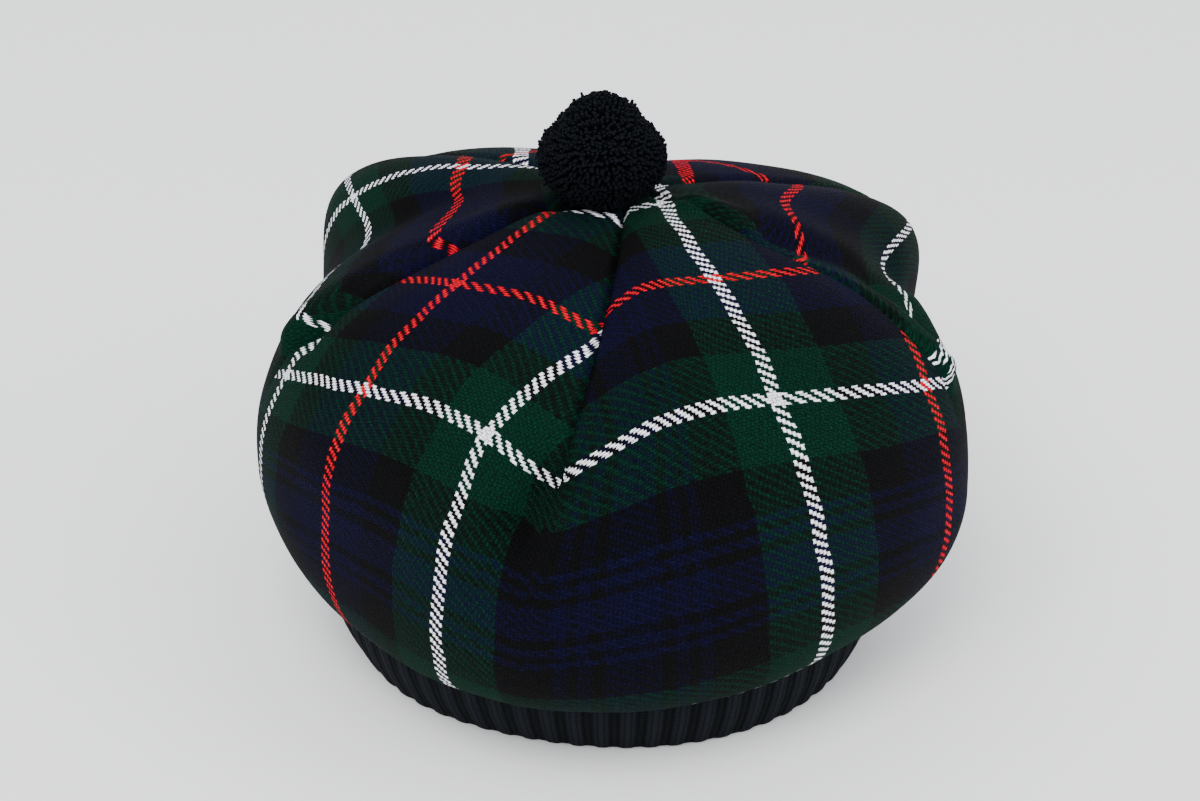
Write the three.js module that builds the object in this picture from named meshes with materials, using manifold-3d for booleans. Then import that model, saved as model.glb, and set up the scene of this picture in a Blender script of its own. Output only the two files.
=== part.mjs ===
// A tam o shanter: a soft round cap of tartan cloth, gathered by five darts under a pompom,
// on a rib-knit band. Millimetres, +Z up, the wearer's front towards -Y.
import * as THREE from 'three';
import { mergeVertices } from 'three/addons/utils/BufferGeometryUtils.js';
import Module from 'manifold-3d';

// Driving dimensions of the crown
const crownRadius = 131;
const crownHeight = 171;
const clothThickness = 2.2;
const panelPuff = 4.5;
const dartOffset = { x: 7, y: 16 };

// Driving dimensions of the band
const footRadius = 91;
const bandTopRadius = 103;
const bandHeight = 27;
const bandThickness = 4.5;
const ribPitch = 8.8;
const ribDepth = 1.3;
const bandBulge = 1.5;

// Driving dimensions of the pompom
const pompomRadius = 23;
const pompomLean = { x: -10.5, y: -6 };
const pompomSink = 7;
const yarnLockRadius = 3.9;
const yarnLockStandOut = 4.2;
const yarnLockTaper = 0.6;
const yarnLockCover = 0.72;
const yarnUnevenness = 0.7;

const sewingGap = 0.3;

// The cloth runs from the darts' meeting, 0, to the rim, 1. The darts end at the shoulder.
const shoulder = 0.52;
const dartLengthShare = 0.555;
const panelLengthShare = 0.47;

// The panels are full from this share down, and flatten out from a little above to a little below
// the shoulder. The higher the dart narrowness, the narrower the sunk line along each dart.
const puffFull = 0.2;
const puffEnd = { above: 0.06, below: 0.12 };
const dartNarrowness = 6;

// One row for each dart and each panel between two darts, in order round the hat.
// turn and rimTurn: degrees from the front, at the top and at the rim
// reach: share of crownRadius; fall: slope of the top; square: how boxy the shoulder is
// belly: height of the widest place, share of crownHeight; under: how full the cloth hangs below it
// rim and foot: shares of bandTopRadius and footRadius
const sectionColumns = [
  'name', 'turn', 'rimTurn', 'reach', 'fall', 'square', 'belly', 'under', 'rim', 'foot',
];
const sections = [
  ['front dart', -6, -14, 0.98, 0.06, 3.0, 0.44, 2.4, 1.00, 1.00],
  ['front right panel', 19, 42, 0.94, 0.02, 3.2, 0.44, 2.2, 1.00, 1.05],
  ['right dart', 64, 78, 1.02, 0.06, 3.0, 0.42, 2.0, 1.02, 1.03],
  ['right back panel', 96, 112, 0.90, 0.12, 3.0, 0.44, 2.0, 1.00, 0.98],
  ['back right dart', 125, 142, 1.13, 0.20, 4.0, 0.42, 2.0, 1.00, 0.98],
  ['back panel', 178, 178, 0.92, 0.26, 2.8, 0.44, 2.0, 1.00, 0.98],
  ['back left dart', 229, 214, 1.10, 0.125, 4.2, 0.46, 2.0, 1.00, 1.00],
  ['left back panel', 257, 244, 0.91, 0.14, 3.0, 0.46, 1.8, 1.02, 1.03],
  ['left dart', 288, 276, 1.00, 0.10, 3.0, 0.44, 1.6, 1.06, 1.06],
  ['front left panel', 328, 306, 0.95, 0.09, 3.2, 0.46, 2.0, 1.03, 1.06],
].map((row) => Object.fromEntries(row.map((value, i) => [sectionColumns[i], value])));

// Folds and dents of the cloth: from and to are [panels round from the front dart, share down],
// width is a share of crownRadius, and lift is a share of panelPuff, below 0 for a crease.
const folds = [
  { name: 'dent at the front dart end', from: [5.0, 0.53], to: [4.95, 0.65], width: 0.080, lift: -1.7 },
  { name: 'crease of the left dart', from: [4.0, 0.08], to: [4.0, 0.50], width: 0.045, lift: -0.8 },
  { name: 'roll over the left dart', from: [3.88, 0.14], to: [3.86, 0.46], width: 0.100, lift: 1.2 },
  { name: 'welt beside the right dart', from: [1.06, 0.06], to: [1.06, 0.46], width: 0.045, lift: 0.7 },
  { name: 'fold of the left back panel', from: [3.45, 0.28], to: [3.72, 0.56], width: 0.080, lift: -1.5 },
  { name: 'fold of the right back panel', from: [1.15, 0.36], to: [1.60, 0.52], width: 0.075, lift: -1.3 },
];

const panelCount = sections.length / 2;
const columnsPerPanel = 12;
const clothRows = 24;
const columnsPerRib = 4;
const curveSteps = 40;
const ballSides = 12;
const yarnLockSides = 5;
const wasm = await Module();
wasm.setup();

// Smooth closed curve through one column of the sections, at a place round the hat in panels
function sectionValue(place, column, lap = 0) {
  const count = sections.length;
  const at = place * 2;
  const first = Math.floor(at);
  const t = at - first;
  const value = (i) => sections[((i % count) + count) % count][column] + lap * Math.floor(i / count);
  const [a, b, c, d] = [value(first - 1), value(first), value(first + 1), value(first + 2)];
  return b + 0.5 * t * (c - a + t * (2 * a - 5 * b + 4 * c - d + t * (3 * (b - c) + d - a)));
}

function sectionAt(place) {
  const section = {};
  for (const column of ['reach', 'fall', 'square', 'belly', 'under', 'rim', 'foot']) {
    section[column] = sectionValue(place, column);
  }
  section.turn = sectionValue(place, 'turn', 360);
  section.rimTurn = sectionValue(place, 'rimTurn', 360);
  return section;
}

// Share of the way from the darts' meeting out to the dart line: 1 on a dart, 0 mid-panel
function dartCloseness(place) {
  return Math.abs(2 * (place - Math.floor(place)) - 1);
}

// Curve of the cloth from the darts' meeting down to the rim, evenly spaced along its length
const meridians = new Map();
function meridian(place) {
  const key = place.toFixed(4);
  if (meridians.has(key)) {
    return meridians.get(key);
  }
  const { turn, rimTurn, reach, fall, square, belly, under, rim } = sectionAt(place);
  const widest = crownRadius * reach;
  const bellyHeight = crownHeight * belly;
  const rimRadius = bandTopRadius * rim - bandThickness;
  const rimHeight = bandHeight + sewingGap;
  const points = [];
  const addPoint = (radius, height, centring) => {
    const sink = (crownHeight - height) / (crownHeight - rimHeight);
    const angle = THREE.MathUtils.degToRad(turn + (rimTurn - turn) * sink);
    points.push(new THREE.Vector3(
      dartOffset.x * centring + radius * Math.sin(angle),
      dartOffset.y * centring - radius * Math.cos(angle),
      height,
    ));
  };
  for (let step = 0; step <= curveSteps; step += 1) {
    const swing = step / curveSteps * Math.PI / 2;
    const out = Math.sin(swing) ** (2 / square);
    const up = Math.cos(swing) ** (2 / square);
    const top = crownHeight - fall * out * widest;
    addPoint(widest * out, bellyHeight + (top - bellyHeight) * up, 1 - out);
  }
  for (let step = 1; step <= curveSteps; step += 1) {
    const swing = step / curveSteps * Math.PI / 2;
    const out = Math.max(Math.cos(swing), 0) ** (2 / under);
    const down = Math.sin(swing) ** (2 / under);
    addPoint(rimRadius + (widest - rimRadius) * out, bellyHeight - (bellyHeight - rimHeight) * down, 0);
  }
  const lengths = [0];
  for (let i = 1; i < points.length; i += 1) {
    lengths.push(lengths[i - 1] + points[i].distanceTo(points[i - 1]));
  }
  const curve = { points, lengths };
  meridians.set(key, curve);
  return curve;
}

// Point of the cloth before its puffs and folds, at a place round the hat and a share of the way down
function smoothCloth(place, down) {
  const { points, lengths } = meridian(place);
  const dartShare = THREE.MathUtils.lerp(panelLengthShare, dartLengthShare, dartCloseness(place) ** 2);
  const share = down < shoulder
    ? dartShare * down / shoulder
    : dartShare + (1 - dartShare) * (down - shoulder) / (1 - shoulder);
  const wanted = share * lengths[lengths.length - 1];
  let i = 1;
  while (i < lengths.length - 1 && lengths[i] < wanted) {
    i += 1;
  }
  const t = (wanted - lengths[i - 1]) / (lengths[i] - lengths[i - 1]);
  return points[i - 1].clone().lerp(points[i], t);
}

function outwards(place, down) {
  const step = 0.004;
  const at = THREE.MathUtils.clamp(down, 5 * step, 1 - step);
  const round = smoothCloth(place + step, at).sub(smoothCloth(place - step, at));
  const along = smoothCloth(place, at + step).sub(smoothCloth(place, at - step));
  return along.cross(round).normalize();
}

// How far the panels puff out between the darts, and the folds, along the outward direction
function clothLift(place, down, point) {
  const { smoothstep } = THREE.MathUtils;
  const rise = smoothstep(down, 0, puffFull);
  const end = smoothstep(down, shoulder - puffEnd.above, shoulder + puffEnd.below);
  let lift = panelPuff * (1 - dartCloseness(place) ** dartNarrowness) * rise * (1 - end);
  for (const fold of folds) {
    fold.line ??= new THREE.Line3(smoothCloth(...fold.from), smoothCloth(...fold.to));
    const nearest = fold.line.closestPointToPoint(point, true, new THREE.Vector3());
    const distance = nearest.distanceTo(point) / (fold.width * crownRadius);
    lift += panelPuff * fold.lift * Math.exp(-distance * distance);
  }
  return lift;
}

function clothPoint(place, down, depth) {
  const point = smoothCloth(place, down);
  const out = outwards(place, down);
  return point.addScaledVector(out, clothLift(place, down, point) - depth);
}

// Rings of one skin of the cloth, from the darts' meeting to the rim
function clothSkin(depth) {
  const columns = panelCount * columnsPerPanel;
  const tip = new THREE.Vector3(dartOffset.x, dartOffset.y, crownHeight - depth);
  const rings = [];
  for (let row = 1; row <= clothRows; row += 1) {
    const ring = [];
    for (let column = 0; column < columns; column += 1) {
      ring.push(clothPoint(column / columnsPerPanel, row / clothRows, depth));
    }
    rings.push(ring);
  }
  return { tip, rings };
}

// Closed geometry from rings that run on from each other, each end closed to a point or onto itself
function ringsGeometry(rings, { startPoint = null, endPoint = null, loop = false }) {
  const positions = [];
  const indices = [];
  const count = rings[0].length;
  for (const ring of rings) {
    for (const point of ring) {
      positions.push(point.x, point.y, point.z);
    }
  }
  const bands = loop ? rings.length : rings.length - 1;
  for (let row = 0; row < bands; row += 1) {
    const next = (row + 1) % rings.length;
    for (let i = 0; i < count; i += 1) {
      const j = (i + 1) % count;
      const [a, b, c, d] = [row * count + i, row * count + j, next * count + j, next * count + i];
      indices.push(a, d, c, a, c, b);
    }
  }
  const addCap = (point, row, flip) => {
    const centre = positions.length / 3;
    positions.push(point.x, point.y, point.z);
    for (let i = 0; i < count; i += 1) {
      const a = row * count + i;
      const b = row * count + (i + 1) % count;
      indices.push(...(flip ? [centre, b, a] : [centre, a, b]));
    }
  };
  if (startPoint) {
    addCap(startPoint, 0, false);
  }
  if (endPoint) {
    addCap(endPoint, rings.length - 1, true);
  }
  const geometry = new THREE.BufferGeometry();
  geometry.setAttribute('position', new THREE.Float32BufferAttribute(positions, 3));
  geometry.setIndex(indices);
  return geometry;
}

// Crown: the outer skin runs down to the rim, and the inner skin back up to the top
function crownGeometry() {
  const outer = clothSkin(0);
  const inner = clothSkin(clothThickness);
  const rings = [...outer.rings, ...inner.rings.reverse()];
  return ringsGeometry(rings, { startPoint: outer.tip, endPoint: inner.tip });
}

// Place round the cloth whose rim lies at this turn, in degrees
function placeAtRimTurn(turn) {
  let low = 0;
  let high = panelCount;
  while (high - low > 1e-6) {
    const half = (low + high) / 2;
    if (sectionAt(half).rimTurn < turn) low = half;
    else high = half;
  }
  return low;
}

// Band: a ring of upright ribs, narrower at the foot, with a flat foot and a flat top
function bandGeometry() {
  const ribs = Math.round(2 * Math.PI * footRadius / ribPitch);
  const columns = ribs * columnsPerRib;
  const firstTurn = sectionAt(0).rimTurn;
  const levels = [
    { share: 0, depth: 0 },
    { share: 0.5, depth: 0 },
    { share: 1, depth: 0 },
    { share: 1, depth: bandThickness },
    { share: 0, depth: bandThickness },
  ];
  const rings = levels.map(({ share, depth }) => {
    const ring = [];
    for (let column = 0; column < columns; column += 1) {
      const turn = firstTurn + 360 * column / columns;
      const { rim, foot } = sectionAt(placeAtRimTurn(turn));
      const angle = THREE.MathUtils.degToRad(turn);
      const plain = THREE.MathUtils.lerp(footRadius * foot, bandTopRadius * rim, share);
      const bulge = bandBulge * 4 * share * (1 - share);
      const sunk = column % columnsPerRib >= columnsPerRib / 2;
      const groove = depth === 0 && sunk ? ribDepth : 0;
      const radius = plain + bulge - groove - depth;
      ring.push(new THREE.Vector3(radius * Math.sin(angle), -radius * Math.cos(angle), share * bandHeight));
    }
    return ring;
  });
  return ringsGeometry(rings.reverse(), { loop: true });
}

function solidFrom(geometry) {
  const bare = geometry.index ? geometry.toNonIndexed() : geometry.clone();
  bare.deleteAttribute('normal');
  bare.deleteAttribute('uv');
  const merged = mergeVertices(bare, 1e-4);
  return new wasm.Manifold(new wasm.Mesh({
    numProp: 3,
    vertProperties: new Float32Array(merged.attributes.position.array),
    triVerts: new Uint32Array(merged.index.array),
  }));
}

function geometryFrom(solid) {
  const mesh = solid.getMesh();
  const geometry = new THREE.BufferGeometry();
  geometry.setAttribute('position', new THREE.Float32BufferAttribute(mesh.vertProperties, 3));
  geometry.setIndex([...mesh.triVerts]);
  return geometry;
}

// Pompom: blunt yarn locks all round a ball, cut away underneath where it sits on the crown
function pompomGeometry() {
  const centre = new THREE.Vector3(
    dartOffset.x + pompomLean.x,
    dartOffset.y + pompomLean.y,
    crownHeight + pompomRadius - pompomSink,
  );
  const headRadius = pompomRadius - yarnLockStandOut;
  const locks = Math.round(yarnLockCover * 2 * (pompomRadius / yarnLockRadius) ** 2);
  const goldenTurn = Math.PI * (3 - Math.sqrt(5));
  const upright = new THREE.Vector3(0, 1, 0);
  const ball = new THREE.SphereGeometry(headRadius, ballSides, Math.round(ballSides * 0.75));
  let pompom = solidFrom(ball.translate(...centre.toArray()));
  for (let lock = 0; lock < locks; lock += 1) {
    const height = 1 - 2 * (lock + 0.5) / locks;
    const ringRadius = Math.sqrt(1 - height * height);
    const direction = new THREE.Vector3(
      ringRadius * Math.cos(lock * goldenTurn),
      ringRadius * Math.sin(lock * goldenTurn),
      height,
    );
    const inner = headRadius / 2;
    const outer = pompomRadius + yarnUnevenness * Math.sin(lock * goldenTurn);
    const yarnLock = new THREE.CylinderGeometry(
      yarnLockRadius,
      yarnLockRadius * yarnLockTaper,
      outer - inner,
      yarnLockSides,
    );
    yarnLock.translate(0, (outer + inner) / 2, 0);
    yarnLock.applyQuaternion(new THREE.Quaternion().setFromUnitVectors(upright, direction));
    yarnLock.translate(...centre.toArray());
    pompom = pompom.add(solidFrom(yarnLock));
  }
  const skin = clothSkin(-sewingGap);
  const floor = new THREE.Vector3(0, 0, bandHeight);
  const crownShape = ringsGeometry(skin.rings, { startPoint: skin.tip, endPoint: floor });
  return geometryFrom(pompom.subtract(solidFrom(crownShape)));
}

function addPiece(group, name, geometry, colour, roughness) {
  const material = new THREE.MeshStandardMaterial({ color: colour, roughness, metalness: 0 });
  const mesh = new THREE.Mesh(geometry, material);
  mesh.name = name;
  group.add(mesh);
}

const hat = new THREE.Group();
addPiece(hat, 'crown', crownGeometry(), 0x16323c, 0.95);
addPiece(hat, 'band', bandGeometry(), 0x10121c, 0.95);
addPiece(hat, 'pompom', pompomGeometry(), 0x06080e, 1.0);

// The middle of the hat's box stands over the origin
const middle = new THREE.Box3().setFromObject(hat).getCenter(new THREE.Vector3());
hat.position.set(-middle.x, -middle.y, 0);

export default hat;
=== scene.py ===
import math

import bmesh
import bpy
from mathutils import Matrix, Vector, noise
from mathutils.bvhtree import BVHTree


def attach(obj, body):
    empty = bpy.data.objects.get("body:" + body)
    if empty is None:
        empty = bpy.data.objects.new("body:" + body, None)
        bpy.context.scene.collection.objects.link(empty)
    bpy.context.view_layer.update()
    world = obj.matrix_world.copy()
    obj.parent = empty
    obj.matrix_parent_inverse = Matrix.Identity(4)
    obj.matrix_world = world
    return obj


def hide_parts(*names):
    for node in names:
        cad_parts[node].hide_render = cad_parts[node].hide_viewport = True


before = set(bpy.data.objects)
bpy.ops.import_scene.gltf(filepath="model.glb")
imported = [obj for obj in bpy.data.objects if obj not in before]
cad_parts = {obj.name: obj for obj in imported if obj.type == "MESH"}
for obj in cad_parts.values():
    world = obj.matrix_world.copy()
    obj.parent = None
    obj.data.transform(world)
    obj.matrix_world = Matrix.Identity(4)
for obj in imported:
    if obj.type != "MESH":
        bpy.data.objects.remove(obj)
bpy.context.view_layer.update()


# Seen from the front, 1.1 m away and 30 degrees above the table. The frame's middle lies
# a little left of and above the middle of the crown.
camera_aim = Vector((-0.0044, 0.0014, 0.088))
camera_distance = 1.1
camera_tilt = 60
camera_shift_up = 0.0028
camera_lens = bpy.data.cameras.new("camera")
camera_lens.sensor_width = 36.0
camera_lens.lens = 89.2
camera = bpy.data.objects.new("camera", camera_lens)
bpy.context.scene.collection.objects.link(camera)
camera.rotation_euler = (math.radians(camera_tilt), 0, 0)
looking = camera.rotation_euler.to_matrix()
camera.location = camera_aim + looking @ Vector((0, camera_shift_up, camera_distance))
bpy.context.scene.camera = camera


# The table: one pale, matt board that runs on past the picture's edges. It takes the place of
# the white ground of the photo, with a soft shadow where the hat stands.
table_reach = 6.0
table_top = bmesh.new()
bmesh.ops.create_grid(table_top, x_segments=1, y_segments=1, size=table_reach)
table_mesh = bpy.data.meshes.new("table")
table_top.to_mesh(table_mesh)
table_top.free()
table = bpy.data.objects.new("table", table_mesh)
bpy.context.scene.collection.objects.link(table)
table_paint = bpy.data.materials.new("pale_board")
table_paint.use_nodes = True
table_shader = table_paint.node_tree.nodes["Principled BSDF"]
table_shader.inputs["Base Color"].default_value = (0.94, 0.94, 0.94, 1)
table_shader.inputs["Roughness"].default_value = 0.9
table_shader.inputs["Specular IOR Level"].default_value = 0.1
table_mesh.materials.append(table_paint)


# Studio light: a pale room, a wide soft box over the front, and a weaker one at the right.
# The room gives most of the light, so the shadows stay soft.
lights_aim = Vector((0, 0, 0.09))
room = bpy.data.worlds.new("room")
room.use_nodes = True
room.node_tree.nodes["Background"].inputs["Color"].default_value = (0.95, 0.97, 1.0, 1)
room.node_tree.nodes["Background"].inputs["Strength"].default_value = 1.6
bpy.context.scene.world = room


def hang_soft_box(name, place, width, watts):
    light = bpy.data.lights.new(name, "AREA")
    light.size = width
    light.energy = watts
    lamp = bpy.data.objects.new(name, light)
    lamp.location = place
    lamp.rotation_euler = (lights_aim - Vector(place)).to_track_quat("-Z", "Y").to_euler()
    bpy.context.scene.collection.objects.link(lamp)


hang_soft_box("key_box", (-0.35, -1.0, 1.45), 0.9, 22)
hang_soft_box("side_box", (1.3, -0.5, 0.8), 0.8, 5)


# The crown: one strip of wool twill in a green, blue and black tartan with white and red lines,
# joined into a ring at the back left dart. Five darts draw its upper half together to a point,
# and its lower edge is sewn to the knitted band.

# Sizes are millimetres, with the middle of the band at the origin, until the cloth is placed
crown_radius = 131.0
crown_height = 171.0
cloth_thickness = 2.2
panel_puff = 4.5
dart_offset = (7.0, 16.0)
band_top_radius = 103.0
band_height = 27.0
band_thickness = 4.5
sewing_gap = 0.3
# Where the middle of the band comes to lie, with the whole hat centred on the frame's origin
hat_place = Vector((-0.305, 1.384, 0))
mm = 0.001

# Shares of the way down: to the dart ends on the cloth and on its line at a dart and a panel's
# middle, and where the puff of the panels begins and ends
shoulder = 0.52
dart_length_share = 0.555
panel_length_share = 0.47
puff_full = 0.2
puff_end_above = 0.06
puff_end_below = 0.12
dart_narrowness = 6

# The cloth at each dart and each panel's middle: turns in degrees, belly in crown heights, reach,
# rim and foot in crown and band radii
section_columns = (
    "turn", "rim_turn", "reach", "fall", "square", "belly", "under", "rim", "foot",
)
section_rows = {
    "front dart": (-6, -14, 0.98, 0.06, 3.0, 0.44, 2.4, 1.00, 1.00),
    "front right panel": (19, 42, 0.94, 0.02, 3.2, 0.44, 2.2, 1.00, 1.05),
    "right dart": (64, 78, 1.02, 0.06, 3.0, 0.42, 2.0, 1.02, 1.03),
    "right back panel": (96, 112, 0.90, 0.12, 3.0, 0.44, 2.0, 1.00, 0.98),
    "back right dart": (125, 142, 1.13, 0.20, 4.0, 0.42, 2.0, 1.00, 0.98),
    "back panel": (178, 178, 0.92, 0.26, 2.8, 0.44, 2.0, 1.00, 0.98),
    "back left dart": (229, 214, 1.10, 0.125, 4.2, 0.46, 2.0, 1.00, 1.00),
    "left back panel": (257, 244, 0.91, 0.14, 3.0, 0.46, 1.8, 1.02, 1.03),
    "left dart": (288, 276, 1.00, 0.10, 3.0, 0.44, 1.6, 1.06, 1.06),
    "front left panel": (328, 306, 0.95, 0.09, 3.2, 0.46, 2.0, 1.03, 1.06),
}
sections = [dict(zip(section_columns, row)) for row in section_rows.values()]
panel_count = len(sections) // 2

# From and to are panels round from the front dart and share down; width is in crown radii,
# lift in panel puffs, below zero for a crease.
fold_columns = ("from", "to", "width", "lift")
fold_rows = {
    "dent at the front dart end": ((4.985, 0.525), (4.94, 0.62), 0.070, -2.2),
    "crease of the left dart": ((4.03, 0.08), (4.03, 0.50), 0.040, -0.9),
    "lip over the left dart": ((3.96, 0.14), (3.955, 0.50), 0.050, 0.9),
    "fold of the left back panel": ((3.45, 0.28), (3.72, 0.56), 0.070, -0.5),
    "welt beside the right dart": ((1.03, 0.10), (1.035, 0.50), 0.045, 1.1),
    "valley behind the welt": ((1.11, 0.22), (1.13, 0.50), 0.060, -1.3),
    "fold of the right back panel": ((1.20, 0.40), (1.60, 0.52), 0.070, -0.9),
}
folds = [dict(zip(fold_columns, row)) for row in fold_rows.values()]

# The cut strip, counted in threads: ends run down it and picks run round it
panel_ends = 131.0
dart_units = 107.0
strip_units = 206.0
picks_per_unit = 62 / 48
dart_bow = 0.18
back_join = 3.0

# How the cloth is eased in the sewing, at 4, 16, 36, 64 and 100 % of the way down.
# Round: how much further round a place lies, in panels.
eased_round = {
    "front dart": (0.01, 0.05, 0.03, -0.03, 0.01),
    "front right panel": (0.00, 0.00, 0.035, 0.02, -0.06),
    "right dart": (-0.10, -0.08, -0.01, -0.02, -0.06),
    "right back panel": (-0.05, -0.08, -0.08, -0.04, -0.03),
    "back right dart": (-0.02, -0.03, -0.03, -0.02, -0.01),
    "back panel": (0.00, 0.00, 0.00, 0.00, 0.00),
    "back left dart": (0.00, -0.02, -0.05, -0.03, 0.00),
    "left back panel": (-0.03, -0.08, -0.12, -0.06, -0.01),
    "left dart": (0.05, 0.06, 0.08, 0.00, -0.01),
    "front left panel": (-0.07, -0.12, -0.12, -0.10, 0.02),
}
# Down: threads by which each panel lies further down the strip, at places evenly spaced from
# its first dart to its last dart.
eased_down = {
    "front right panel": ((-6, -5, 0, 3, 5), (-5, -5, -4, 2, 5), (-4, -4, -2, 3, 5)),
    "right back panel": (
        (0, 4, 3, 0, 5), (0, -2, 8, 18, 5), (0, 0, 3, 4, 5), (0, 3, 3, 7, 5), (0, 4, 5, 7, 5),
    ),
    "back panel": ((0, 12, 14, 8, 5), (0, 12, 14, 8, 5), (0, 10, 12, 6, 5)),
    "left back panel": (
        (0, 5, 6, 12, 5), (0, 5, 6, 20, 5), (0, -4, -1, 20, 5), (0, -1, 0, 14, 5),
        (0, 4, 4, 20, 5),
    ),
    "front left panel": ((-10, -14, -16, -6, 5), (-9, -13, -13, -4, 5), (-7, -9, -5, 0, 5)),
}

# More ends of the right back panel are caught in the right dart, between these shares down
caught_ends = 34.0
caught_panel = 1
caught_from = (0.05, 0.40)
caught_until = (0.46, 0.62)

# The darts' sewn lines, and the turned-back seam that stands up on both sides of them
seam_depth = 0.9
seam_width = 1.3
seam_roll = 0.4
seam_roll_from = 3.4
seam_roll_width = 1.8
seam_end_above = 0.01
seam_end_below = 0.02
end_spacing = 1.17

# Slow unevenness of the cloth, left out at its upper and lower edges
ripple_height = 0.9
ripple_length = 34.0
ripple_full = 0.15
ripple_end = 0.93


def smooth_between(x, low, high):
    share = min(max((x - low) / (high - low), 0.0), 1.0)
    return share * share * (3 - 2 * share)


# Smooth curve through a row of knots, a share t of the way from the second to the third
def spline(a, b, c, d, t):
    return b + 0.5 * t * (c - a + t * (2 * a - 5 * b + 4 * c - d + t * (3 * (b - c) + d - a)))


def section_value(place, column, lap=0.0):
    first = math.floor(place * 2)
    count = len(sections)
    knots = [sections[i % count][column] + lap * (i // count) for i in range(first - 1, first + 3)]
    return spline(*knots, place * 2 - first)


def ease_at(row, down):
    knots = (0.0, *row)
    at = math.sqrt(min(max(down, 0.0), 1.0)) * len(row)
    first = min(math.floor(at), len(row) - 1)
    near = [knots[min(max(i, 0), len(row))] for i in range(first - 1, first + 3)]
    return spline(*near, at - first)


def ease_round(place, down):
    rows = list(eased_round.values())
    first = math.floor(place * 2)
    knots = [ease_at(rows[i % len(rows)], down) for i in range(first - 1, first + 3)]
    return spline(*knots, place * 2 - first)


# Smooth curve through the values from the first dart (across -1) to the last dart (1) of a panel
def ease_down(panel, across, down):
    values = [ease_at(row, down) for row in list(eased_down.values())[panel % panel_count]]
    before = 3 * (values[0] - values[1]) + values[2]
    after = 3 * (values[-1] - values[-2]) + values[-3]
    at = (across + 1) / 2 * (len(values) - 1)
    first = min(max(math.floor(at), 0), len(values) - 2)
    return spline(*[before, *values, after][first:first + 4], at - first)


# 1 at a dart and 0 at a panel's middle
def dart_closeness(place):
    return abs(2 * (place - math.floor(place)) - 1)


# The cloth's line from the darts' meeting to the rim, with the length run along it
meridians = {}


def meridian(place):
    key = round(place, 4)
    if key in meridians:
        return meridians[key]
    turn = section_value(place, "turn", 360.0)
    rim_turn = section_value(place, "rim_turn", 360.0)
    under = section_value(place, "under")
    square = section_value(place, "square")
    fall = section_value(place, "fall")
    widest = crown_radius * section_value(place, "reach")
    belly = crown_height * section_value(place, "belly")
    rim_radius = band_top_radius * section_value(place, "rim") - band_thickness
    rim_height = band_height + sewing_gap
    points = []

    def add_point(radius, height, centring):
        sink = (crown_height - height) / (crown_height - rim_height)
        angle = math.radians(turn + (rim_turn - turn) * sink)
        points.append(Vector((
            dart_offset[0] * centring + radius * math.sin(angle),
            dart_offset[1] * centring - radius * math.cos(angle),
            height,
        )))

    steps = 90
    for step in range(steps + 1):
        swing = step / steps * math.pi / 2
        out = math.sin(swing) ** (2 / square)
        up = max(math.cos(swing), 0.0) ** (2 / square)
        top = crown_height - fall * out * widest
        add_point(widest * out, belly + (top - belly) * up, 1 - out)
    for step in range(1, steps + 1):
        swing = step / steps * math.pi / 2
        out = max(math.cos(swing), 0.0) ** (2 / under)
        down = math.sin(swing) ** (2 / under)
        radius = rim_radius + (widest - rim_radius) * out
        add_point(radius, belly - (belly - rim_height) * down, 0)
    lengths = [0.0]
    for before, after in zip(points, points[1:]):
        lengths.append(lengths[-1] + (after - before).length)
    meridians[key] = (points, lengths)
    return meridians[key]


def smooth_cloth(place, down):
    points, lengths = meridian(place)
    more_at_darts = dart_length_share - panel_length_share
    dart_share = panel_length_share + more_at_darts * dart_closeness(place) ** 2
    if down < shoulder:
        share = dart_share * down / shoulder
    else:
        share = dart_share + (1 - dart_share) * (down - shoulder) / (1 - shoulder)
    wanted = share * lengths[-1]
    low, high = 0, len(lengths) - 1
    while high - low > 1:
        half = (low + high) // 2
        if lengths[half] < wanted:
            low = half
        else:
            high = half
    between = (wanted - lengths[low]) / (lengths[high] - lengths[low])
    return points[low].lerp(points[high], between)


def outwards(place, down):
    step = 0.004
    at = min(max(down, 5 * step), 1 - step)
    around = smooth_cloth(place + step, at) - smooth_cloth(place - step, at)
    along = smooth_cloth(place, at + step) - smooth_cloth(place, at - step)
    return along.cross(around).normalized()


def panel_half_width(units):
    share = min(units / dart_units, 1.0)
    return panel_ends / 2 * share * (1 + dart_bow - dart_bow * share)


def eased_cloth(place, down):
    return smooth_cloth(place + ease_round(place, down), down)


for fold in folds:
    fold["start"] = eased_cloth(*fold["from"])
    fold["run"] = eased_cloth(*fold["to"]) - fold["start"]


def cloth_lift(place, down, point):
    rise = smooth_between(down, 0, puff_full)
    end = smooth_between(down, shoulder - puff_end_above, shoulder + puff_end_below)
    lift = panel_puff * (1 - dart_closeness(place) ** dart_narrowness) * rise * (1 - end)
    for fold in folds:
        share = (point - fold["start"]).dot(fold["run"]) / fold["run"].length_squared
        nearest = fold["start"] + fold["run"] * min(max(share, 0.0), 1.0)
        distance = (nearest - point).length / (fold["width"] * crown_radius)
        lift += panel_puff * fold["lift"] * math.exp(-distance * distance)
    return lift


# The seam at the strip's joined ends runs on to the rim; the others run out at the dart ends
def seam_lift(place, down):
    dart = round(place)
    from_seam = (place - dart) * 2 * panel_half_width(down * strip_units) * end_spacing
    runs_out = 1 - smooth_between(down, shoulder - seam_end_above, shoulder + seam_end_below)
    if dart == back_join:
        runs_out = 1.0
    sink = seam_depth * math.exp(-(from_seam / seam_width) ** 2)
    roll = seam_roll * math.exp(-((abs(from_seam) - seam_roll_from) / seam_roll_width) ** 2)
    return (roll - sink) * runs_out


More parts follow.
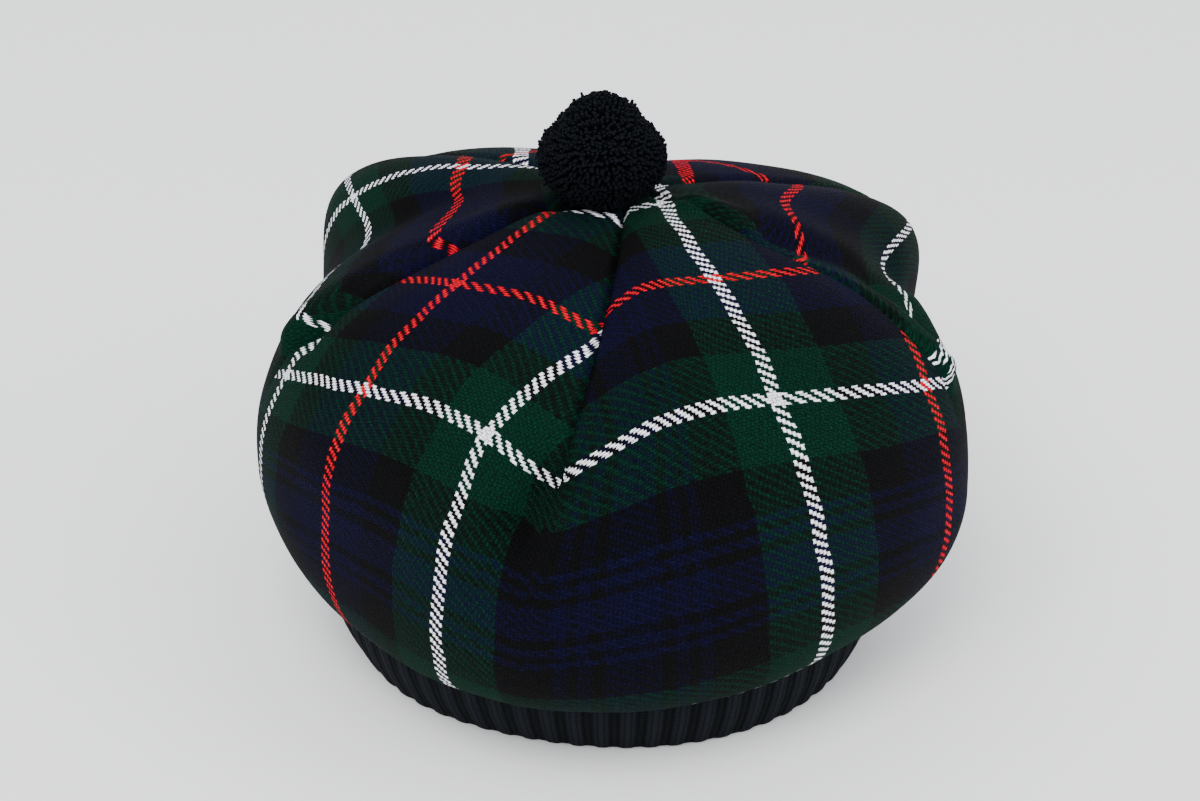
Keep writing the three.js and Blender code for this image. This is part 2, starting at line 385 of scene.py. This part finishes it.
def cloth_point(place, down):
    point = eased_cloth(place, down)
    lift = cloth_lift(place, down, point) + seam_lift(place, down)
    ripple = ripple_height * noise.noise(point / ripple_length)
    ripple *= smooth_between(down, 0, ripple_full)
    lift += ripple * (1 - smooth_between(down, ripple_end, 1))
    return point + outwards(place + ease_round(place, down), down) * lift


# Number of the end and of the pick at a place in the cloth
def cloth_threads(place, down, panel):
    across = 2 * (place - panel) - 1
    units = max(down * strip_units + ease_down(panel, across, down), 0.0)
    end = panel_ends * (panel + 0.5) + panel_half_width(units) * across
    if panel == caught_panel:
        held = smooth_between(down, *caught_from) * (1 - smooth_between(down, *caught_until))
        end += caught_ends * held * ((1 - across) / 2) ** 2
    if panel + 0.5 > back_join:
        end -= panel_ends * panel_count
    return end, units * picks_per_unit


weld_distance = 0.0005


# A flat grid is bent into place, each face keeping the threads or stitches that it was cut from
def bend_grid(name, columns, rows, point_at, thread_at):
    cloth = bmesh.new()
    bmesh.ops.create_grid(cloth, x_segments=columns, y_segments=rows, size=0.5)
    threads = cloth.loops.layers.uv.new("threads")
    for face in cloth.faces:
        middle = face.calc_center_median()
        for loop in face.loops:
            flat = loop.vert.co
            loop[threads].uv = thread_at(flat.x + 0.5, 0.5 - flat.y, middle.x + 0.5)
    for vert in cloth.verts:
        vert.co = point_at(vert.co.x + 0.5, 0.5 - vert.co.y)
    bmesh.ops.remove_doubles(cloth, verts=cloth.verts, dist=weld_distance)
    bmesh.ops.recalc_face_normals(cloth, faces=cloth.faces)
    bmesh.ops.translate(cloth, verts=cloth.verts, vec=hat_place)
    bmesh.ops.scale(cloth, verts=cloth.verts, vec=Vector((mm, mm, mm)))
    for face in cloth.faces:
        face.smooth = True
    mesh = bpy.data.meshes.new(name)
    cloth.to_mesh(mesh)
    cloth.free()
    piece = bpy.data.objects.new(name, mesh)
    bpy.context.scene.collection.objects.link(piece)
    return piece


columns_per_panel = 64
cloth_rows = 130
dart_crowding = 0.85


# Columns crowd towards the darts, where the cloth bends most sharply
def crowd_to_darts(share):
    place = share * panel_count
    panel = math.floor(place)
    t = place - panel
    return panel + t - dart_crowding * math.sin(2 * math.pi * t) / (2 * math.pi)


crown = bend_grid(
    "tartan_crown",
    columns_per_panel * panel_count,
    cloth_rows,
    lambda share, down: cloth_point(crowd_to_darts(share), down),
    lambda share, down, middle: cloth_threads(
        crowd_to_darts(share), down, math.floor(middle * panel_count)
    ),
)
cloth_wall = crown.modifiers.new("cloth", "SOLIDIFY")
cloth_wall.thickness = cloth_thickness / 1000
cloth_wall.offset = -1


def add_node(tree, kind, inputs=None, **settings):
    node = tree.nodes.new(kind)
    for name, value in settings.items():
        setattr(node, name, value)
    for socket, value in (inputs or {}).items():
        if isinstance(value, bpy.types.NodeSocket):
            tree.links.new(value, node.inputs[socket])
        else:
            node.inputs[socket].default_value = value
    return node


def calc(tree, operation, *values):
    return add_node(tree, "ShaderNodeMath", dict(enumerate(values)), operation=operation).outputs[0]


# Inputs 6 and 7 and output 2 of this node are its colours
def mix_colours(tree, share, first, second):
    inputs = {"Factor": share, 6: first, 7: second}
    return add_node(tree, "ShaderNodeMix", inputs, data_type="RGBA").outputs[2]


def scale_colour(tree, colour, shade):
    inputs = {0: colour, "Scale": shade}
    return add_node(tree, "ShaderNodeVectorMath", inputs, operation="SCALE").outputs[0]


def noise_in(tree, place, scale, detail, roughness=0.5):
    return add_node(tree, "ShaderNodeTexNoise", {
        "Vector": place, "Scale": scale, "Detail": detail, "Roughness": roughness,
    })


def split_colour(tree, colour):
    return add_node(tree, "ShaderNodeSeparateColor", {"Color": colour})


def clamp(tree, value):
    return calc(tree, "MINIMUM", calc(tree, "MAXIMUM", value, 0.0), 1.0)


# Wool and yarn: matt, with the colour and relief worked out before
def finish_fabric(fabric, roughness, colour, bump_strength, bump_distance, height):
    tree = fabric.node_tree
    raised = add_node(tree, "ShaderNodeBump", {
        "Strength": bump_strength, "Distance": bump_distance, "Height": height,
    })
    shader = tree.nodes["Principled BSDF"]
    shader.inputs["Roughness"].default_value = roughness
    shader.inputs["Specular IOR Level"].default_value = 0.05
    tree.links.new(colour, shader.inputs["Base Color"])
    tree.links.new(raised.outputs["Normal"], shader.inputs["Normal"])


# Yarn colours in the order of the half repeat, from the middle of the red line to the middle of
# the blue tracks, with the thread count at which each begins
yarn_red = (0.50, 0.0, 0.012)
yarn_blue = (0.0024, 0.0020, 0.0185)
yarn_navy = (0.0018, 0.0017, 0.0105)
yarn_black = (0.0019, 0.0019, 0.0023)
yarn_green = (0.0001, 0.0165, 0.0086)
yarn_white = (0.90, 0.90, 0.96)
half_repeat = 96.0
white_line_at = 48.0


# Node group: colour of a thread from its number, counted from a red line's middle, and whether the
# thread is in a red or white line
def thread_order(name, blue, line_half_width):
    order = [
        (0, blue), (17, yarn_black), (31, yarn_green), (65, yarn_black), (79, blue),
        (81.5, yarn_black), (84, blue), (87, yarn_black), (90, blue),
    ]
    group = bpy.data.node_groups.new(name, "ShaderNodeTree")
    group.interface.new_socket("Thread", in_out="INPUT", socket_type="NodeSocketFloat")
    group.interface.new_socket("Yarn", in_out="OUTPUT", socket_type="NodeSocketColor")
    group.interface.new_socket("In Line", in_out="OUTPUT", socket_type="NodeSocketFloat")
    group_in = add_node(group, "NodeGroupInput")
    group_out = add_node(group, "NodeGroupOutput")
    there_and_back = calc(group, "PINGPONG", group_in.outputs["Thread"], half_repeat)
    ramp_place = calc(group, "DIVIDE", there_and_back, half_repeat)
    ramp = add_node(group, "ShaderNodeValToRGB", {"Fac": ramp_place})
    ramp.color_ramp.interpolation = "CONSTANT"
    while len(ramp.color_ramp.elements) < len(order):
        ramp.color_ramp.elements.new(0.5)
    for stop, (start, colour) in zip(ramp.color_ramp.elements, order):
        stop.position = start / half_repeat
    for stop, (start, colour) in zip(ramp.color_ramp.elements, order):
        stop.color = (*colour, 1)
    from_white_line = calc(group, "SUBTRACT", there_and_back, white_line_at)
    from_white_line = calc(group, "ABSOLUTE", from_white_line)
    colour = ramp.outputs["Color"]
    in_lines = []
    for from_line, line_yarn in ((there_and_back, yarn_red), (from_white_line, yarn_white)):
        in_lines.append(calc(group, "LESS_THAN", from_line, line_half_width))
        colour = mix_colours(group, in_lines[-1], colour, (*line_yarn, 1))
    group.links.new(colour, group_out.inputs["Yarn"])
    group.links.new(calc(group, "ADD", *in_lines), group_out.inputs["In Line"])
    return group


warp_order = thread_order("warp order", yarn_navy, 2.0)
weft_order = thread_order("weft order", yarn_blue, 2.3)

tartan = bpy.data.materials.new("tartan_twill")
tartan.use_nodes = True
weave = tartan.node_tree
threads = add_node(weave, "ShaderNodeUVMap", uv_map="threads").outputs["UV"]

# Threads wander a little from a straight line, and their edges are fuzzy
wander_threads = 2.6
fuzz_threads = 0.9
wander = noise_in(weave, threads, 0.055, 1.0)
wander_apart = split_colour(weave, wander.outputs["Color"])
strip = add_node(weave, "ShaderNodeSeparateXYZ", {"Vector": threads})
fuzz = noise_in(weave, threads, 0.9, 2.0, 0.6)
fuzz_apart = split_colour(weave, fuzz.outputs["Color"])


def stray_thread(channel, at):
    at = calc(weave, "MULTIPLY_ADD", wander_apart.outputs[channel], wander_threads, at)
    return calc(weave, "MULTIPLY_ADD", fuzz_apart.outputs[channel], fuzz_threads, at)


end_at = stray_thread("Red", strip.outputs["X"])
pick_at = stray_thread("Green", strip.outputs["Y"])
end_number = calc(weave, "FLOOR", end_at)
pick_number = calc(weave, "FLOOR", pick_at)
end_share = calc(weave, "FRACT", end_at)
pick_share = calc(weave, "FRACT", pick_at)

# Two over, two under, one thread further on each pick. A yarn lies on top for two threads' length.
twill_step = calc(weave, "FLOORED_MODULO", calc(weave, "SUBTRACT", end_number, pick_number), 4.0)
end_on_top = calc(weave, "LESS_THAN", twill_step, 1.5)
past_end = calc(weave, "SUBTRACT", calc(weave, "ADD", pick_share, 1.0), twill_step)
past_pick = calc(weave, "SUBTRACT", calc(weave, "ADD", end_share, twill_step), 2.0)
along_end = calc(weave, "DIVIDE", past_end, 2.0)
along_pick = calc(weave, "DIVIDE", past_pick, 2.0)


def choose(tree, pick, when_no, when_yes):
    return add_node(tree, "ShaderNodeMix", {"Factor": pick, 2: when_no, 3: when_yes}).outputs[0]


along = choose(weave, end_on_top, along_pick, along_end)
across = choose(weave, end_on_top, pick_share, end_share)


# 1 in the middle of a share and 0 at its ends
def hump(tree, share, power):
    from_middle = calc(tree, "ABSOLUTE", calc(tree, "MULTIPLY_ADD", share, 2.0, -1.0))
    height = calc(tree, "SUBTRACT", 1.0, calc(tree, "POWER", from_middle, power))
    return calc(tree, "MAXIMUM", height, 0.0)


# Threads are numbered from the middle of a red line
red_line_end = 120.5
red_line_pick = 60.0
float_height = calc(weave, "MULTIPLY", hump(weave, along, 3.0), hump(weave, across, 2.2))

end_yarn = add_node(weave, "ShaderNodeGroup", node_tree=warp_order)
weave.links.new(calc(weave, "SUBTRACT", end_number, red_line_end), end_yarn.inputs["Thread"])
pick_yarn = add_node(weave, "ShaderNodeGroup", node_tree=weft_order)
pick_units = calc(weave, "DIVIDE", calc(weave, "ADD", pick_number, 0.5), picks_per_unit)
weave.links.new(calc(weave, "SUBTRACT", pick_units, red_line_pick), pick_yarn.inputs["Thread"])

# Fibres: a speckle along the yarns, stray fibres of the thread below that show through outside the
# white and red lines, and a slow change of tone from wear and pressing
fibres = noise_in(weave, threads, 0.85, 4.0, 0.8)
strays = add_node(weave, "ShaderNodeTexNoise", {
    "Vector": threads, "Scale": 0.6, "Detail": 4.0, "Roughness": 0.8, "W": 3.7,
}, noise_dimensions="4D")
in_line = calc(weave, "MAXIMUM", end_yarn.outputs["In Line"], pick_yarn.outputs["In Line"])
off_lines = calc(weave, "SUBTRACT", 1.0, in_line)
stray = clamp(weave, calc(weave, "MULTIPLY_ADD", strays.outputs["Fac"], 3.0, -1.25))
stray = calc(weave, "MULTIPLY", stray, off_lines)
end_shows = calc(weave, "ABSOLUTE", calc(weave, "SUBTRACT", end_on_top, stray))
yarn = mix_colours(weave, end_shows, pick_yarn.outputs["Yarn"], end_yarn.outputs["Yarn"])
worn = noise_in(weave, threads, 0.03, 2.0)
speckle = calc(weave, "MULTIPLY_ADD", fibres.outputs["Fac"], 3.6, -0.8)
# Painted highlight and shade: each float is painted lighter along its middle and darker at its
# edges and ends, where it dips under the next yarn. The speckle and the slow change of tone are the
# yarn's own colour.
shade = calc(weave, "MULTIPLY_ADD", float_height, 0.75, 0.42)
shade = calc(weave, "MULTIPLY", shade, calc(weave, "MAXIMUM", speckle, 0.15))
shade = calc(weave, "MULTIPLY", shade, calc(weave, "MULTIPLY_ADD", worn.outputs["Fac"], 0.4, 0.8))

height = calc(weave, "ADD", float_height, calc(weave, "MULTIPLY", fibres.outputs["Fac"], 0.5))
finish_fabric(tartan, 0.88, scale_colour(weave, yarn, shade), 0.7, 0.0005, height)
crown.data.materials.append(tartan)

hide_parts("crown")
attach(crown, "root")


# The band: a close-fitting ring knitted in navy-black yarn, two plain stitches and two purl
# stitches turn about, which stand as ribs and furrows. It is doubled over at the foot, and the
# crown is sewn to its upper edge.
foot_radius = 91.0
rib_pitch = 8.8
rib_depth = 0.8
band_bulge = 1.5
rib_squareness = 2.2
rib_phase = 0.125
foot_sway = 0.0010
foot_sway_count = 7
stitches_per_rib = 4
course_height = 1.5
columns_per_rib = 12
rib_count = round(2 * math.pi * foot_radius / rib_pitch)


# Place round the cloth whose rim lies at this turn, in degrees
def place_at_rim_turn(turn):
    low, high = 0.0, float(panel_count)
    while high - low > 1e-6:
        half = (low + high) / 2
        if section_value(half, "rim_turn", 360.0) < turn:
            low = half
        else:
            high = half
    return low


first_rim_turn = section_value(0.0, "rim_turn", 360.0)
rim_places = {}

# The wall's section, closed on itself: height above the table and depth behind the outer face
face_foot = 1.4
face_step = 2.42
band_section = [(0.0, 3.2), (0.0, 1.4), (0.4, 0.4), (face_foot, 0.0)]
band_section += [(face_foot + face_step * step, 0.0) for step in range(1, 10)]
band_section += [(25.6, 0.0), (26.6, 0.4), (27.0, 1.4), (27.0, 3.2), (26.5, 4.2), (25.5, 4.5)]
band_section += [(20.0, 4.5), (14.0, 4.5), (8.0, 4.5), (1.4, 4.5), (0.4, 4.1)]


def band_point(share, along_section):
    height, depth = band_section[round(along_section * len(band_section)) % len(band_section)]
    up = height / band_height
    turn = first_rim_turn + 360 * share
    key = round(share, 6)
    if key not in rim_places:
        rim_places[key] = place_at_rim_turn(turn)
    place = rim_places[key]
    sway = foot_sway * math.sin(2 * math.pi * share * foot_sway_count) * (1 - up)
    foot = foot_radius * section_value(place, "foot")
    top = band_top_radius * section_value(place, "rim")
    wave = math.cos(2 * math.pi * (share * rib_count - rib_phase))
    squared = math.tanh(rib_squareness * wave) / math.tanh(rib_squareness)
    furrow = rib_depth * (0.5 - 0.5 * squared)
    outer = 1 - depth / band_thickness
    radius = foot + (top - foot) * up + band_bulge * 4 * up * (1 - up) - furrow * outer - depth
    angle = math.radians(turn) + sway
    return Vector((radius * math.sin(angle), -radius * math.cos(angle), height))


# Number of the stitch and of the course at a place in the band
def band_stitch(share, along_section, middle):
    position = along_section * len(band_section)
    height = band_section[round(position) % len(band_section)][0]
    return share * rib_count * stitches_per_rib, height / course_height


band = bend_grid(
    "rib_band", rib_count * columns_per_rib, len(band_section), band_point, band_stitch
)

rib_knit = bpy.data.materials.new("rib_knit")
rib_knit.use_nodes = True
knit = rib_knit.node_tree
stitches = add_node(knit, "ShaderNodeUVMap", uv_map="threads").outputs["UV"]
stitch_apart = add_node(knit, "ShaderNodeSeparateXYZ", {"Vector": stitches})
wale_share = calc(knit, "FRACT", stitch_apart.outputs["X"])
from_wale_middle = calc(knit, "ABSOLUTE", calc(knit, "SUBTRACT", wale_share, 0.5))

# The stitches of a wale slant like a V
course = calc(knit, "MULTIPLY_ADD", from_wale_middle, -1.3, stitch_apart.outputs["Y"])
course = calc(knit, "FRACT", course)
wale_edge = calc(knit, "POWER", calc(knit, "MULTIPLY", from_wale_middle, 2.0), 2.0)
wale_height = calc(knit, "SUBTRACT", 1.0, wale_edge)
course_relief = calc(knit, "MULTIPLY_ADD", hump(knit, course, 2.0), 0.45, 0.55)
stitch_height = calc(knit, "MULTIPLY", wale_height, course_relief)

# Painted shade: the furrows between the ribs are painted darker, and each stitch is painted lighter
# in its middle than at its edges
rib_angle = 2 * math.pi / stitches_per_rib
rib_turn = calc(knit, "MULTIPLY_ADD", stitch_apart.outputs["X"], rib_angle, -math.pi / 4)
in_rib = clamp(knit, calc(knit, "MULTIPLY_ADD", calc(knit, "COSINE", rib_turn), 1.6, 0.5))
knit_fibres = noise_in(knit, stitches, 2.5, 4.0, 0.8)
knit_speckle = calc(knit, "MULTIPLY_ADD", knit_fibres.outputs["Fac"], 1.8, 0.1)
knit_shade = calc(knit, "MULTIPLY_ADD", stitch_height, 0.8, 0.5)
knit_shade = calc(knit, "MULTIPLY", knit_shade, knit_speckle)
knit_shade = calc(knit, "MULTIPLY", knit_shade, calc(knit, "MULTIPLY_ADD", in_rib, 0.55, 0.45))
knit_colour = scale_colour(knit, (0.0070, 0.0088, 0.0118), knit_shade)
finish_fabric(rib_knit, 0.9, knit_colour, 0.8, 0.0007, stitch_height)
band.data.materials.append(rib_knit)

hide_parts("band")
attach(band, "root")


# The pompom: near-black yarn wound, tied round the middle, cut and trimmed to a ball of blunt
# ends. It is stitched to the crown a little to the front of where the darts meet.
pompom_radius = 23.0
pompom_lean = (-10.5, -6.0)
pompom_sink = 6.0
pompom_squash = 0.95
pompom_spread = 1.02
core_share = 0.72
root_share = 0.55
trim_share = 0.985
dome_depth = 0.27
uneven_trim = 0.9
ragged_trim = 1.1
longer_by = 0.9
way_scatter = 0.08
lean_scatter = 0.20
shortest_end = 2
crown_clearance = 0.8
yarn_width = 1.3
yarn_ends = 3000
ends_in_a_lock = 60
stray_every = 31
pompom_middle = Vector((
    dart_offset[0] + pompom_lean[0],
    dart_offset[1] + pompom_lean[1],
    crown_height + pompom_radius - pompom_sink,
))
middle_in_place = (pompom_middle + hat_place) / 1000

crown_mesh = bmesh.new()
crown_mesh.from_mesh(crown.data)
crown_skin = BVHTree.FromBMesh(crown_mesh)
crown_mesh.free()

# The scatter of the yarn ends is drawn from a fixed seed, so that each run gives the same ball
scatter_seed = 11
noise.seed_set(scatter_seed)

tuft = bmesh.new()
bmesh.ops.create_icosphere(tuft, subdivisions=3, radius=pompom_radius * core_share)
golden_turn = math.pi * (3 - math.sqrt(5))
for first in range(0, yarn_ends, ends_in_a_lock):
    lock = bmesh.new()
    for number in range(first, first + ends_in_a_lock):
        up = 1 - 2 * (number + 0.5) / yarn_ends
        ring = math.sqrt(1 - up * up)
        chance = noise.noise_vector(Vector((number * 0.77, 5.1, 2.3)))
        turn = number * golden_turn
        way = Vector((ring * math.cos(turn), ring * math.sin(turn), up))
        way = (way + way_scatter * chance).normalized()

        # Trimmed to a dome, fullest below its middle, with a few ends left longer
        dome = dome_depth * smooth_between(way.z, -0.1, 0.8) * (1 - way.z ** 2)
        trimmed = pompom_radius * (trim_share - dome)
        trimmed = trimmed + uneven_trim * noise.noise(way * 2.6) + ragged_trim * chance.x
        if number % stray_every == 0:
            trimmed += longer_by + 0.8 * abs(chance.y)
        hit = crown_skin.ray_cast(middle_in_place, way)[3]
        if hit is not None:
            trimmed = min(trimmed, hit * 1000 - crown_clearance)
        root = pompom_radius * root_share
        if trimmed < root + shortest_end:
            continue
        lean = (way + lean_scatter * Vector((chance.y, chance.z, chance.x))).normalized()
        length = trimmed - root
        bmesh.ops.create_cone(
            lock, cap_ends=True, cap_tris=False, segments=5,
            radius1=yarn_width * 0.30, radius2=yarn_width * (0.45 + 0.15 * chance.z), depth=length,
            matrix=Matrix.Translation(way * root + lean * length / 2)
            @ lean.to_track_quat("Z", "Y").to_matrix().to_4x4(),
        )
    lock_mesh = bpy.data.meshes.new("yarn_lock")
    lock.to_mesh(lock_mesh)
    lock.free()
    tuft.from_mesh(lock_mesh)
    bpy.data.meshes.remove(lock_mesh)
pompom_shape = Vector((pompom_spread, pompom_spread, pompom_squash))
bmesh.ops.scale(tuft, verts=tuft.verts, vec=pompom_shape)
bmesh.ops.translate(tuft, verts=tuft.verts, vec=pompom_middle + hat_place)
bmesh.ops.scale(tuft, verts=tuft.verts, vec=Vector((mm, mm, mm)))
tuft_mesh = bpy.data.meshes.new("yarn_pompom")
tuft.to_mesh(tuft_mesh)
tuft.free()
pompom = bpy.data.objects.new("yarn_pompom", tuft_mesh)
bpy.context.scene.collection.objects.link(pompom)

cut_yarn = bpy.data.materials.new("cut_yarn")
cut_yarn.use_nodes = True
ends = cut_yarn.node_tree
in_object = add_node(ends, "ShaderNodeTexCoord").outputs["Object"]
ends_fibres = noise_in(ends, in_object, 1400.0, 3.0, 0.7).outputs["Fac"]
ends_shade = calc(ends, "MULTIPLY_ADD", ends_fibres, 1.6, 0.1)
ends_colour = scale_colour(ends, (0.0042, 0.0052, 0.0074), ends_shade)
finish_fabric(cut_yarn, 0.95, ends_colour, 0.6, 0.0005, ends_fibres)
pompom.data.materials.append(cut_yarn)

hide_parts("pompom")
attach(pompom, "root")
